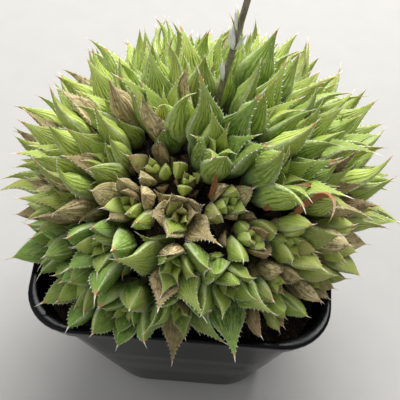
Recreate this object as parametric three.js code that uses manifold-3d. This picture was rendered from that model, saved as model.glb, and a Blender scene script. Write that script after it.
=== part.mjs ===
// A clump of Haworthia cooperi in a square black nursery pot, in millimetres, +Z up.
// The origin is the middle of the pot's base, on the surface that it stands on.
import * as THREE from "three";
import { mergeVertices } from "three/addons/utils/BufferGeometryUtils.js";
import Module from "manifold-3d";

const wasm = await Module();
wasm.setup();

// Pot: a tapered square shell with round corners and a stepped band round the rim
const RIM_WIDTH = 100;
const BASE_WIDTH = 60;
const POT_HEIGHT = 76;
const CORNER_RADIUS = 16;
const CORNER_STEPS = 5;
const WALL = 1.3;
const FLOOR = 2;
const BAND_HEIGHT = 7;
const BAND_STEP = 1.6;
const RIM_EDGE = 0.8;
const DRAIN_RADIUS = 3;
const DRAIN_SIDES = 12;
const DRAIN_REACH = 16;

// Fit between neighbours, and how far the soil lies below the rim
const GAP = 0.3;
const SOIL_DROP = 10;

// Clump: the rosettes stand on a low dome of matted stems, centred a little right of the pot's middle
const DOME_CENTRE = new THREE.Vector3(3, 2, POT_HEIGHT + 2);
const MAT_RADIUS = 38;
const MAT_RISE = 27;
const MAT_SIDES = 18;
const MAT_STEPS = 4;
const CROWN_RADIUS = 44;
const CROWN_RISE = 33;
const LIGHT_PULL = new THREE.Vector3(0.12, 0, 0.18);

// Rosette: a short stem standing in a hole of the mat, a small heart, and two whorls of leaves
const STEM_RADIUS = 2.2;
const STEM_DEPTH = 13;
const HOLE_SIDES = 5;
const HOLE_MOUTH = 2;
const HEART = { lower: -2, upper: 1, lowerRadius: 3.4, upperRadius: 3, top: 2, neck: -5 };
const WHORLS = {
  outer: { share: 1, lean: 1, height: -0.6, radius: 3 },
  inner: { share: 0.68, lean: 0.3, height: 2, radius: 1.3 },
};
const INNER_TURN = 0.5;
const INNER_HEART = 0.62;
const INNER_FOOT = { height: -2, radius: 1 };
const TURN_SPREAD = 0.16;
const SIZE_SPREAD = 0.14;
const WEDGE_SHARE = 0.94;
const WIDEST_WEDGE = 1.2;
const LEAF_CLEARANCE = 0.2;
const RIM_CLEARANCE = 0.5;
const BEND_TRIES = 16;
const BEND_STEP = 0.86;
const SHRINK_STEP = 0.95;
const FIRST_SEED = 1009;
const SEED_STEP = 97;
const DEGREE = Math.PI / 180;

// Where along a leaf its sections lie, and each section's share of the full width and depth
const SECTIONS = {
  plump: [[0.3, 0.9, 0.85], [0.58, 1, 1], [0.82, 0.66, 0.6]],
  long: [[0.24, 0.96, 0.95], [0.48, 0.92, 0.92], [0.74, 0.44, 0.48]],
  short: [[0.28, 1, 1], [0.62, 0.66, 0.68]],
};

// Leaf forms: length, width, depth, then the lean from the axis at the root and at the tip
const FORMS = {
  plump: { length: 20, width: 9.6, depth: 4.6, lean: 60, tipLean: 8, shape: "plump" },
  open: { length: 24, width: 11, depth: 4, lean: 58, tipLean: 34, shape: "long" },
  long: { length: 27, width: 11.2, depth: 4.3, lean: 50, tipLean: 14, shape: "long" },
  tuft: { length: 27, width: 11.2, depth: 4.4, lean: 50, tipLean: 14, shape: "short" },
  bud: { length: 14, width: 7.4, depth: 4, lean: 40, tipLean: 0, shape: "plump" },
};

// Rosettes: azimuth and polar angle on the dome in degrees, leaf form, leaves in each whorl, size
const ROSETTES = [
  [-55, 15, "long", [5, 3], 1.15], [155, 18, "long", [5, 3], 1], [95, 28, "long", [5, 3], 1],
  [24, 28, "long", [5, 3], 1.05], [-138, 27, "bud", [4, 0], 0.85], [-98, 24, "bud", [3, 0], 0.75],
  [-97, 41, "open", [5, 3], 0.85], [-130, 45, "plump", [5, 3], 0.85], [-163, 42, "long", [5, 3], 0.85],
  [160, 42, "long", [5, 3], 0.95], [128, 44, "long", [5, 3], 0.93], [98, 50, "long", [5, 3], 0.95],
  [68, 48, "long", [5, 3], 1.1], [40, 48, "long", [5, 3], 1.06], [10, 46, "long", [5, 3], 1],
  [-26, 40, "long", [5, 3], 1.1], [-64, 37, "bud", [4, 3], 1], [-58, 53, "bud", [4, 3], 1],
  [-96, 60, "open", [5, 3], 0.95], [-74, 68, "open", [5, 3], 0.95], [-43, 62, "plump", [5, 3], 0.95],
  [-54, 73, "bud", [4, 0], 0.95], [-14, 58, "long", [5, 3], 0.95], [20, 65, "long", [5, 3], 1],
  [46, 66, "long", [5, 3], 1.06], [72, 67, "tuft", [5, 3], 1.08], [98, 67, "tuft", [5, 3], 0.93],
  [124, 66, "tuft", [5, 3], 0.92], [150, 63, "long", [5, 3], 0.94], [-178, 60, "long", [5, 3], 1],
  [-154, 62, "long", [5, 3], 0.95], [-129, 64, "plump", [5, 3], 1],
  [-93, 77, "open", [5, 3], 0.82], [-112, 83, "plump", [5, 3], 0.95], [-132, 84, "plump", [5, 3], 1],
  [-150, 80, "plump", [5, 3], 1], [-168, 76, "plump", [5, 3], 1], [174, 80, "tuft", [5, 3], 0.95],
  [-56, 86, "plump", [4, 3], 0.85], [-38, 85, "plump", [4, 3], 0.85], [-25, 77, "plump", [5, 3], 0.95],
  [-7, 75, "long", [5, 3], 1], [12, 83, "tuft", [5, 3], 1], [36, 84, "tuft", [5, 3], 1],
  [60, 85, "tuft", [5, 3], 1], [84, 85, "tuft", [5, 3], 1], [108, 85, "tuft", [5, 3], 1],
  [132, 84, "tuft", [5, 3], 1], [154, 82, "tuft", [5, 3], 1],
];

// Flower stalk: its place on the dome and its lean, as the thin dry stem that rises out of the clump
const STALK = { azimuth: 66, polar: 19, radius: 1.1, sides: 6, steps: 12, bend: 12, length: 60, lean: 10 };
const STALK_SPREAD = 0.25;

const PIECE_COLOURS = { pot: 0x14171d, soil: 0x2b211a, mat: 0x4a3a28, leaf: 0x7f9f45, stalk: 0x6f6753 };

const group = new THREE.Group();

// Add one named piece with a material of its own
function addPiece(name, geometry, colour, roughness) {
  const material = new THREE.MeshStandardMaterial({ color: colour, roughness, metalness: 0 });
  const mesh = new THREE.Mesh(geometry, material);
  mesh.name = name;
  group.add(mesh);
}

// A closed three.js geometry as a solid, with only its merged positions kept
function solidOf(geometry) {
  const bare = geometry.clone();
  bare.deleteAttribute("normal");
  bare.deleteAttribute("uv");
  const merged = mergeVertices(bare, 1e-4);
  const vertProperties = new Float32Array(merged.attributes.position.array);
  const triVerts = new Uint32Array(merged.index.array);
  return new wasm.Manifold(new wasm.Mesh({ numProp: 3, vertProperties, triVerts }));
}

// The largest body of a solid alone, with the hollows that fusing sealed filled
function mainBody(solid) {
  return solid.decompose().reduce((best, body) => (body.volume() > best.volume() ? body : best));
}

// A solid back as a three.js geometry
function geometryOf(solid) {
  const mesh = solid.getMesh();
  const geometry = new THREE.BufferGeometry();
  geometry.setAttribute("position", new THREE.BufferAttribute(mesh.vertProperties, 3));
  geometry.setIndex(new THREE.BufferAttribute(mesh.triVerts, 1));
  geometry.computeVertexNormals();
  return geometry;
}

// A closed skin over rings of points that all have the same count, capped at both ends
function loft(rings, startPoint, endPoint) {
  const count = rings[0].length;
  const points = rings.flat();
  const triangles = [];
  const start = points.push(startPoint) - 1;
  const end = points.push(endPoint) - 1;
  for (let i = 0; i < count; i += 1) {
    const next = (i + 1) % count;
    triangles.push(start, next, i);
    for (let ring = 0; ring + 1 < rings.length; ring += 1) {
      const low = ring * count;
      const high = low + count;
      triangles.push(low + i, low + next, high + next, low + i, high + next, high + i);
    }
    const top = (rings.length - 1) * count;
    triangles.push(top + i, top + next, end);
  }
  const geometry = new THREE.BufferGeometry();
  geometry.setFromPoints(points);
  geometry.setIndex(triangles);
  return geometry;
}

// Points round a square with round corners, counterclockwise seen from above
function roundedSquare(half, z) {
  const radius = Math.min(CORNER_RADIUS, half - 1);
  const points = [];
  for (let corner = 0; corner < 4; corner += 1) {
    const turn = corner * Math.PI / 2;
    const centreX = (half - radius) * Math.SQRT2 * Math.cos(turn + Math.PI / 4);
    const centreY = (half - radius) * Math.SQRT2 * Math.sin(turn + Math.PI / 4);
    for (let step = 0; step <= CORNER_STEPS; step += 1) {
      const angle = turn + (step / CORNER_STEPS) * Math.PI / 2;
      const x = centreX + radius * Math.cos(angle);
      points.push(new THREE.Vector3(x, centreY + radius * Math.sin(angle), z));
    }
  }
  return points;
}

// Half width of the pot's outer wall at a height
function wallHalf(z) {
  const topHalf = RIM_WIDTH / 2 - BAND_STEP;
  return BASE_WIDTH / 2 + (topHalf - BASE_WIDTH / 2) * (z / POT_HEIGHT);
}

function makePot() {
  const bandBottom = POT_HEIGHT - BAND_HEIGHT;
  const rimHalf = RIM_WIDTH / 2;
  const rimInner = wallHalf(POT_HEIGHT) - WALL;
  const rings = [
    roundedSquare(wallHalf(0) - RIM_EDGE, 0),
    roundedSquare(wallHalf(RIM_EDGE), RIM_EDGE),
    roundedSquare(wallHalf(bandBottom), bandBottom),
    roundedSquare(wallHalf(bandBottom) + BAND_STEP, bandBottom),
    roundedSquare(rimHalf, POT_HEIGHT - RIM_EDGE),
    roundedSquare(rimHalf - RIM_EDGE, POT_HEIGHT),
    roundedSquare(rimInner + RIM_EDGE, POT_HEIGHT),
    roundedSquare(rimInner, POT_HEIGHT - RIM_EDGE),
    roundedSquare(wallHalf(FLOOR) - WALL, FLOOR),
  ];
  let pot = solidOf(loft(rings, new THREE.Vector3(0, 0, 0), new THREE.Vector3(0, 0, FLOOR)));
  for (let corner = 0; corner < 4; corner += 1) {
    const angle = (corner + 0.5) * Math.PI / 2;
    const hole = new THREE.CylinderGeometry(DRAIN_RADIUS, DRAIN_RADIUS, 4 * FLOOR, DRAIN_SIDES);
    hole.rotateX(Math.PI / 2);
    const reach = DRAIN_REACH * Math.SQRT2;
    hole.translate(reach * Math.cos(angle), reach * Math.sin(angle), 0);
    pot = pot.subtract(solidOf(hole));
  }
  return geometryOf(pot);
}

const SOIL_TOP = POT_HEIGHT - SOIL_DROP;

function makeSoil() {
  const bottom = FLOOR + GAP;
  const inner = (z) => wallHalf(z) - WALL - GAP;
  const rings = [roundedSquare(inner(bottom), bottom), roundedSquare(inner(SOIL_TOP), SOIL_TOP)];
  return loft(rings, new THREE.Vector3(0, 0, bottom), new THREE.Vector3(0, 0, SOIL_TOP));
}

// Unit direction on the dome from its azimuth and polar angle in degrees
function domeDirection(azimuth, polar) {
  const flat = Math.sin(polar * DEGREE);
  return new THREE.Vector3(
    flat * Math.cos(azimuth * DEGREE), flat * Math.sin(azimuth * DEGREE), Math.cos(polar * DEGREE));
}

// Distance from the dome's centre to a flattened dome's surface along a direction
function domeReach(direction, radius, rise) {
  return 1 / Math.hypot(direction.x / radius, direction.y / radius, direction.z / rise);
}

// Repeatable draws between 0 and 1, from a seed
function makeDraw(seed) {
  let state = seed;
  return () => {
    state = (state * 48271) % 2147483647;
    return state / 2147483647;
  };
}

// Where a rosette or the stalk stands, which way it grows and how wide it may spread
function standing(azimuth, polar, spread) {
  const outward = domeDirection(azimuth, polar);
  const reach = domeReach(outward, CROWN_RADIUS, CROWN_RISE);
  const crown = DOME_CENTRE.clone().addScaledVector(outward, reach);
  const growth = outward.clone().add(LIGHT_PULL).normalize();
  return { outward, crown, growth, spread };
}

const STALK_STAND = standing(STALK.azimuth, STALK.polar, STALK_SPREAD);
const PLANTS = ROSETTES.map(([azimuth, polar, form, leafCounts, size], index) => ({
  ...standing(azimuth, polar, size),
  form: FORMS[form],
  leafCounts,
  size,
  seed: FIRST_SEED + SEED_STEP * index,
}));

// The planes between one plant and each neighbour, which its leaves stay behind
function fencesOf(own, others) {
  const fences = [];
  for (const other of others) {
    if (other === own) continue;
    const across = own.crown.clone().sub(other.crown);
    const share = own.spread / (own.spread + other.spread);
    const point = own.crown.clone().addScaledVector(across, -share);
    const along = own.growth.clone().add(other.growth).normalize();
    const normal = across.addScaledVector(along, -across.dot(along)).normalize();
    fences.push({ point, normal });
  }
  return fences;
}

// Whether every point lies clear of the fences and above the pot's rim
function isClear(points, fences) {
  for (const point of points) {
    if (point.z < POT_HEIGHT + RIM_CLEARANCE) return false;
    for (const { point: onFence, normal } of fences) {
      const depth = (point.x - onFence.x) * normal.x + (point.y - onFence.y) * normal.y
        + (point.z - onFence.z) * normal.z;
      if (depth < LEAF_CLEARANCE) return false;
    }
  }
  return true;
}

// The sections and tip of a leaf: a flat face and a keel across a midrib that bends from root to tip
function leafPoints(leaf) {
  const { root, axis, side, away, rootRadius, length, width, depth, lean, tipLean, shape, wedge } = leaf;
  const rings = [];
  const place = root.clone();
  let radius = rootRadius;
  let last = 0;
  const walk = (t) => {
    const middle = (lean + (tipLean - lean) * (t + last) / 2) * DEGREE;
    place.addScaledVector(axis, Math.cos(middle) * length * (t - last));
    place.addScaledVector(away, Math.sin(middle) * length * (t - last));
    radius += Math.sin(middle) * length * (t - last);
    last = t;
  };
  for (const [t, widthShare, depthShare] of SECTIONS[shape]) {
    walk(t);
    const angle = (lean + (tipLean - lean) * t) * DEGREE;
    const back = away.clone().multiplyScalar(Math.cos(angle)).addScaledVector(axis, -Math.sin(angle));
    const half = Math.min(width * widthShare / 2, radius * Math.tan(wedge) * WEDGE_SHARE);
    rings.push([
      place.clone().addScaledVector(back, depth * depthShare),
      place.clone().addScaledVector(side, half),
      place.clone().addScaledVector(side, -half),
    ]);
  }
  walk(1);
  return { rings, tip: place.clone() };
}

// One whorl of a rosette: its leaves round the axis, each bent towards it until it stands clear
function whorlOf(plant, whorl, count, firstTurn, draw, fences) {
  const { crown, growth, form, size } = plant;
  const across = new THREE.Vector3(0, 0, 1).cross(growth).normalize();
  const upward = growth.clone().cross(across);
  const towards = (turn) => across.clone().multiplyScalar(Math.cos(turn))
    .addScaledVector(upward, Math.sin(turn));
  const pitch = 2 * Math.PI / count;
  const turns = [];
  for (let k = 0; k < count; k += 1) {
    turns.push(firstTurn + k * pitch + (draw() - 0.5) * TURN_SPREAD * pitch);
  }
  const leaves = turns.map((turn, k) => {
    const next = k + 1 < count ? turns[k + 1] : turns[0] + 2 * Math.PI;
    const before = k > 0 ? turns[k - 1] : turns[count - 1] - 2 * Math.PI;
    const away = towards(turn);
    const share = size * whorl.share * (1 + SIZE_SPREAD * (draw() - 0.5));
    const leaf = {
      axis: growth, away, side: growth.clone().cross(away), shape: form.shape,
      wedge: Math.min((next - turn) / 2, (turn - before) / 2, WIDEST_WEDGE),
      root: crown.clone().addScaledVector(growth, whorl.height * size)
        .addScaledVector(away, whorl.radius * size),
      rootRadius: whorl.radius * size,
      length: form.length * share, width: form.width * share, depth: form.depth * share,
      lean: form.lean * whorl.lean, tipLean: form.tipLean * whorl.lean,
    };
    let points = leafPoints(leaf);
    for (let attempt = 0; attempt < BEND_TRIES; attempt += 1) {
      if (isClear([...points.rings.flat(), points.tip], fences)) break;
      leaf.lean *= BEND_STEP;
      leaf.tipLean *= BEND_STEP;
      if (attempt > BEND_TRIES / 3) {
        leaf.length *= SHRINK_STEP;
        leaf.width *= SHRINK_STEP;
        leaf.depth *= SHRINK_STEP;
      }
      points = leafPoints(leaf);
    }
    return { ...points, away, between: towards((turn + next) / 2) };
  });
  return leaves;
}

// A closed skin over a whorl: a short many-sided heart whose faces grow out into the leaves, on a foot
function whorlSkin(stand, leaves, scale, footRings) {
  const count = leaves.length;
  const at = (height, direction, radius) => stand.crown.clone()
    .addScaledVector(stand.growth, height * scale).addScaledVector(direction, radius * scale);
  const points = [at(HEART.top, stand.growth, 0)];
  for (const leaf of leaves) points.push(at(HEART.upper, leaf.between, HEART.upperRadius));
  for (const leaf of leaves) points.push(at(HEART.lower, leaf.away, HEART.lowerRadius));
  const upper = (i) => 1 + (i + count) % count;
  const lower = (i) => 1 + count + (i + count) % count;
  const triangles = [];
  for (let i = 0; i < count; i += 1) {
    triangles.push(0, upper(i), upper(i + 1), lower(i), lower(i + 1), upper(i));
    let ring = [lower(i), upper(i), upper(i - 1)];
    for (const section of leaves[i].rings) {
      const grown = section.map((point) => points.push(point) - 1);
      for (let j = 0; j < 3; j += 1) {
        const next = (j + 1) % 3;
        triangles.push(ring[j], ring[next], grown[next], ring[j], grown[next], grown[j]);
      }
      ring = grown;
    }
    const tip = points.push(leaves[i].tip) - 1;
    for (let j = 0; j < 3; j += 1) triangles.push(ring[j], ring[(j + 1) % 3], tip);
  }
  let above = lower;
  for (const [height, radius] of footRings) {
    const first = points.length;
    for (const leaf of leaves) {
      const flat = leaf.away.clone()
        .addScaledVector(stand.outward, -leaf.away.dot(stand.outward)).normalize();
      points.push(stand.crown.clone().addScaledVector(stand.outward, height)
        .addScaledVector(flat, radius));
    }
    const below = (i) => first + (i + count) % count;
    for (let i = 0; i < count; i += 1) {
      triangles.push(below(i), below(i + 1), above(i + 1));
      triangles.push(below(i), above(i + 1), above(i));
    }
    above = below;
  }
  const foot = points.push(stand.crown.clone().addScaledVector(stand.outward, footRings.at(-1)[0])) - 1;
  for (let i = 0; i < count; i += 1) triangles.push(foot, above(i + 1), above(i));
  const geometry = new THREE.BufferGeometry();
  geometry.setFromPoints(points);
  geometry.setIndex(triangles);
  return geometry;
}

// A rosette: an outer whorl on its stem, and a steeper inner whorl sunk into its heart
function makeRosette(plant) {
  const { leafCounts: [outerCount, innerCount], size, seed } = plant;
  const fences = fencesOf(plant, [...PLANTS, STALK_STAND]);
  const draw = makeDraw(seed);
  draw();
  const phase = draw() * 2 * Math.PI;
  const outer = whorlOf(plant, WHORLS.outer, outerCount, phase, draw, fences);
  const stem = [[HEART.neck * size, STEM_RADIUS], [-STEM_DEPTH, STEM_RADIUS]];
  const rosette = solidOf(whorlSkin(plant, outer, size, stem));
  if (innerCount === 0) return geometryOf(rosette);
  const inner = whorlOf(plant, WHORLS.inner, innerCount, phase + INNER_TURN, draw, fences);
  const foot = [[INNER_FOOT.height * size, INNER_FOOT.radius]];
  const innerSkin = whorlSkin(plant, inner, size * INNER_HEART, foot);
  return geometryOf(mainBody(rosette.add(solidOf(innerSkin))));
}

// A many-sided rod along a stand's direction, through rings given as height and radius
function rod(stand, profile) {
  const across = new THREE.Vector3(0, 0, 1).cross(stand.outward).normalize();
  const upward = stand.outward.clone().cross(across);
  const at = (height) => stand.crown.clone().addScaledVector(stand.outward, height);
  const rings = profile.map(([height, radius]) => {
    const ring = [];
    for (let i = 0; i < HOLE_SIDES; i += 1) {
      const angle = (i / HOLE_SIDES) * 2 * Math.PI;
      ring.push(at(height).addScaledVector(across, radius * Math.cos(angle))
        .addScaledVector(upward, radius * Math.sin(angle)));
    }
    return ring;
  });
  return loft(rings, at(profile[0][0]), at(profile.at(-1)[0]));
}

// A plain five-sided hole for a stem, from just under its foot to above the mat
function hole(stand, radius) {
  const across = (radius + GAP) / Math.cos(Math.PI / HOLE_SIDES);
  return rod(stand, [[-STEM_DEPTH - GAP, across], [HOLE_MOUTH, across]]);
}

// The mat of short stems and dead leaves, with a plain hole for each stem that stands in it
function makeMat() {
  const bottom = SOIL_TOP + GAP - DOME_CENTRE.z;
  const profile = [new THREE.Vector2(0, bottom), new THREE.Vector2(MAT_RADIUS, bottom)];
  for (let step = 0; step <= MAT_STEPS; step += 1) {
    const angle = (step / MAT_STEPS) * Math.PI / 2;
    const radius = step === MAT_STEPS ? 0 : MAT_RADIUS * Math.cos(angle);
    profile.push(new THREE.Vector2(radius, MAT_RISE * Math.sin(angle)));
  }
  const lathe = new THREE.LatheGeometry(profile, MAT_SIDES);
  lathe.rotateX(Math.PI / 2);
  lathe.translate(DOME_CENTRE.x, DOME_CENTRE.y, DOME_CENTRE.z);
  let mat = solidOf(lathe);
  for (const plant of PLANTS) mat = mat.subtract(solidOf(hole(plant, STEM_RADIUS)));
  mat = mat.subtract(solidOf(hole(STALK_STAND, STALK.radius)));
  return geometryOf(mainBody(mat));
}

// The stalk leaves its hole along the dome's direction, then rises with a slight lean to the right
function makeStalk() {
  const { outward, crown } = STALK_STAND;
  const rise = new THREE.Vector3(Math.sin(STALK.lean * DEGREE), 0, Math.cos(STALK.lean * DEGREE));
  const turn = crown.clone().addScaledVector(outward, STALK.bend);
  const route = [
    crown.clone().addScaledVector(outward, -STEM_DEPTH),
    crown,
    turn,
    turn.clone().addScaledVector(rise, STALK.length / 3),
    turn.clone().addScaledVector(rise, STALK.length * 2 / 3),
    turn.clone().addScaledVector(rise, STALK.length),
  ];
  const section = new THREE.Shape().absarc(0, 0, STALK.radius, 0, 2 * Math.PI);
  return new THREE.ExtrudeGeometry(section, {
    steps: STALK.steps, curveSegments: STALK.sides / 2, bevelEnabled: false,
    extrudePath: new THREE.CatmullRomCurve3(route),
  });
}

addPiece("pot", makePot(), PIECE_COLOURS.pot, 0.3);
addPiece("soil", makeSoil(), PIECE_COLOURS.soil, 1);
addPiece("stem_mat", makeMat(), PIECE_COLOURS.mat, 1);
PLANTS.forEach((plant, index) => {
  addPiece(`rosette_${String(index + 1).padStart(2, "0")}`, makeRosette(plant), PIECE_COLOURS.leaf, 0.5);
});
addPiece("flower_stalk", makeStalk(), PIECE_COLOURS.stalk, 0.8);

export default group;
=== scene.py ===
# %% [markdown]
# This lesson dresses a potted Haworthia cooperi: a dense dome of rosettes in a square black nursery pot.
# The imported model gives every piece its place and size, so it is loaded first.
# Each new piece is modelled by hand in mesh operators and then stands for the plain solid in its place.

# %% Load the frame
import math
import random

import bmesh
import bpy
import numpy as np
from mathutils import Matrix, Vector, noise


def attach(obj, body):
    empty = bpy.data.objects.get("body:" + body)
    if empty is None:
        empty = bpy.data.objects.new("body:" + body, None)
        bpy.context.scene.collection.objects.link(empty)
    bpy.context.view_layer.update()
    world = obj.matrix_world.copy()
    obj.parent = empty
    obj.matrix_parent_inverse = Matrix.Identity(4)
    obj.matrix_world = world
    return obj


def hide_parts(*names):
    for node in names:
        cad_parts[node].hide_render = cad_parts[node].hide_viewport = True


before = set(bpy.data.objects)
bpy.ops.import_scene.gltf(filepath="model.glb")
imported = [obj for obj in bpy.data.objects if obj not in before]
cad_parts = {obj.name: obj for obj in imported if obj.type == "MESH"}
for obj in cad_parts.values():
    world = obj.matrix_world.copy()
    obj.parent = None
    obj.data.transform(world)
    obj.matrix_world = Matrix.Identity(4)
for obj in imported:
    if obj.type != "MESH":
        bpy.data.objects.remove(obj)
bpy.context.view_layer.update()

# %% [markdown]
# Every piece below starts from an operator that works on whatever is selected.
# Small helpers keep that safe: one leaves nothing selected, one names the object that was just added,
# and one selects vertices of the mesh in edit mode by a test on their place.
# The others start a piece from a circle and draw it up, turn its faces outwards, smooth it,
# copy or join pieces, and hand a finished piece over to the object.

# %% Helpers for modelling by hand
def select_none():
    """Leaves edit mode if need be, with nothing selected."""
    if bpy.context.object and bpy.context.object.mode != "OBJECT":
        bpy.ops.object.mode_set(mode="OBJECT")
    bpy.ops.object.select_all(action="DESELECT")


def started(name):
    """Names the primitive that was just added."""
    piece = bpy.context.active_object
    piece.name = piece.data.name = name
    return piece


def select_where(piece, test):
    """In edit mode, selects the vertices whose place passes the test."""
    mesh = bmesh.from_edit_mesh(piece.data)
    for vertex in mesh.verts:
        vertex.select_set(bool(test(vertex.co)))
    mesh.select_flush(True)
    mesh.select_flush(False)
    bmesh.update_edit_mesh(piece.data)


def joined(pieces, name):
    """Joins copies into one piece under a name."""
    select_none()
    for piece in pieces:
        piece.select_set(True)
    bpy.context.view_layer.objects.active = pieces[0]
    bpy.ops.object.join()
    return started(name)


def copy_of(pattern, name):
    """A copy of a modelled object with a mesh of its own."""
    copy = bpy.data.objects.new(name, pattern.data.copy())
    bpy.context.scene.collection.objects.link(copy)
    return copy


def filled_ring(name, sides, radius):
    """A filled circle, selected in edit mode and ready to be drawn up."""
    select_none()
    bpy.ops.mesh.primitive_circle_add(vertices=sides, radius=radius, fill_type="NGON")
    ring = started(name)
    bpy.ops.object.mode_set(mode="EDIT")
    bpy.ops.mesh.select_all(action="SELECT")
    return ring


def drawn_up(rise):
    """Extrudes the selected face or edges by a height."""
    bpy.ops.mesh.extrude_region_move(TRANSFORM_OT_translate={"value": (0, 0, rise)})


def turned_out():
    """Turns every face of a closed mesh outwards and leaves edit mode."""
    bpy.ops.mesh.select_all(action="SELECT")
    bpy.ops.mesh.normals_make_consistent(inside=False)
    bpy.ops.object.mode_set(mode="OBJECT")


def smoothed(degrees):
    """Shades the active piece smooth, apart from its edges that are sharper than an angle."""
    bpy.ops.object.shade_smooth_by_angle(angle=math.radians(degrees))


def handed_over(piece, slot, *nodes):
    """Puts a finished piece on the object's body, in place of the solids that it refines, if any."""
    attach(piece, "root")
    if nodes:
        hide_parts(*nodes)
    print(piece.name, len(piece.data.polygons), "faces")


# %% [markdown]
# A finish is a small network of nodes. Writing its maths as plain expressions keeps it readable,
# so one class wraps a socket that carries a number, and another adds nodes of any kind to a material.
# Colours are written as they are seen on a screen and turned into the shader's own scale.

# %% A number that varies over a surface
class Level:
    """A number that varies over a surface. Arithmetic on it adds Math nodes."""

    def __init__(self, finish, socket):
        self.finish = finish
        self.socket = socket

    def maths(self, operation, *values):
        return self.finish.node("Math", {"operation": operation}, dict(enumerate(values)))

    def __add__(self, other):
        return self.maths("ADD", self, other)

    def __sub__(self, other):
        return self.maths("SUBTRACT", self, other)

    def __mul__(self, other):
        return self.maths("MULTIPLY", self, other)

    def __rsub__(self, other):
        return self.maths("SUBTRACT", other, self)

    __radd__ = __add__
    __rmul__ = __mul__

    def __abs__(self):
        return self.maths("ABSOLUTE", self)

    def wave(self):
        return self.maths("COSINE", self)

    def rise(self, low, high):
        """0 below low, 1 above high, and a soft step in between."""
        given = {"Value": self, "From Min": low, "From Max": high}
        return self.finish.node("MapRange", {"interpolation_type": "SMOOTHSTEP"}, given)


# %% A finish and its nodes
class Finish:
    """A material with a Principled shader. plug() feeds or sets its sockets."""

    def __init__(self, name, **constants):
        self.material = bpy.data.materials.new(name)
        self.material.use_nodes = True
        self.nodes = self.material.node_tree.nodes
        self.links = self.material.node_tree.links
        self.shader = self.nodes["Principled BSDF"]
        self.plug(self.shader, {key.replace("_", " "): value for key, value in constants.items()})

    def plug(self, made, values):
        """Links or sets the inputs of a node."""
        for key, value in values.items():
            if isinstance(value, Level):
                value = value.socket
            if isinstance(value, bpy.types.NodeSocket):
                self.links.new(value, made.inputs[key])
            else:
                made.inputs[key].default_value = value

    def node(self, kind, settings=None, values=None, output=0):
        """Adds a node of any kind: first its settings, then the values or links of its sockets."""
        made = self.nodes.new("ShaderNode" + kind)
        for name, value in (settings or {}).items():
            setattr(made, name, value)
        self.plug(made, values or {})
        return Level(self, made.outputs[output])

    def place(self):
        return self.node("TexCoord", output="Object").socket

    def attribute(self, name):
        """The three numbers of an attribute of the mesh."""
        held = self.node("Attribute", {"attribute_name": name}, output="Vector")
        parts = self.node("SeparateXYZ", values={"Vector": held})
        return [Level(self, socket) for socket in parts.socket.node.outputs]

    def combined(self, x, y, z):
        return self.node("CombineXYZ", values={"X": x, "Y": y, "Z": z}).socket

    def noise(self, place, scale, detail=2.0):
        return self.node("TexNoise", values={"Vector": place, "Scale": scale, "Detail": detail})

    def mix(self, mask, first, second):
        """The first colour where the mask is 0 and the second where it is 1."""
        mixed = self.node("Mix", {"data_type": "RGBA"}, {0: mask, 6: first, 7: second}, output=2)
        return mixed.socket

    def coats(self, base, *layers):
        """Colours laid over a base one after another, each through a mask of its own."""
        for mask, tone in layers:
            base = self.mix(mask, base, tone)
        return base

    def bump(self, height, distance, strength=1.0):
        given = {"Height": height, "Distance": distance, "Strength": strength}
        return self.node("Bump", values=given, output="Normal").socket

    def paint(self, **feeds):
        self.plug(self.shader, {key.replace("_", " "): value for key, value in feeds.items()})

    def put_on(self, piece):
        piece.data.materials.clear()
        piece.data.materials.append(self.material)


# %% Colours
def colour(red, green, blue):
    """A colour as it is seen on a screen, from 0 to 255, for a shader's socket."""
    seen = [channel / 255 for channel in (red, green, blue)]
    linear = [c / 12.92 if c < 0.04045 else ((c + 0.055) / 1.055) ** 2.4 for c in seen]
    return (*linear, 1.0)


# %% [markdown]
# The camera comes early, because every choice of detail is made for its view.
# It looks down on the clump at 55 degrees through a long lens, a little from the right,
# aimed just beside the middle of the rim. The floor is a wide pale sheet.

# %% Camera
RIM_WIDTH = 0.100
BASE_WIDTH = 0.060
POT_HEIGHT = 0.076

CAMERA_TURN = math.radians(5)
CAMERA_FALL = math.radians(55)
CAMERA_DISTANCE = 0.335
CAMERA_LENS = 86.4
AIM_SHIFT = 0.004
NEAREST_SEEN = 0.01

level = math.cos(CAMERA_FALL)
camera_back = Vector(
    (math.sin(CAMERA_TURN) * level, -math.cos(CAMERA_TURN) * level, math.sin(CAMERA_FALL)))
camera_right = Vector((math.cos(CAMERA_TURN), math.sin(CAMERA_TURN), 0))
camera_up = camera_back.cross(camera_right)
aim = Vector((0, 0, POT_HEIGHT)) + (camera_right + camera_up) * AIM_SHIFT
bpy.ops.object.camera_add(location=aim + camera_back * CAMERA_DISTANCE)
camera = bpy.context.active_object
camera.data.lens = CAMERA_LENS
camera.rotation_euler = camera_back.to_track_quat("Z", "Y").to_euler()
camera.data.clip_start = NEAREST_SEEN
bpy.context.scene.camera = camera

# %% [markdown]
# The photograph's light is soft daylight from behind the plant, a little from the right.
# A sun lamp would cut hard shadows, so one broad lamp gives the direction instead.
# A wider and weaker one opens the shadows on the left, and the world is a pale sky.

# %% Lights and floor
LIGHTS = [  # place, size and power
    ((0.08, 0.46, 0.66), 0.52, 10.6),
    ((-0.60, -0.25, 0.60), 0.90, 1.5),
]
SKY_COLOUR = (0.95, 0.97, 1.0, 1.0)
SKY_STRENGTH = 0.47
FLOOR_SIZE = 6.0
FLOOR_DROP = 0.0003

for place, size, power in LIGHTS:
    select_none()
    bpy.ops.object.light_add(type="AREA", location=place)
    lamp = bpy.context.active_object
    lamp.data.size = size
    lamp.data.energy = power
    lamp.rotation_euler = (Vector(place) - aim).to_track_quat("Z", "Y").to_euler()

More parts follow.
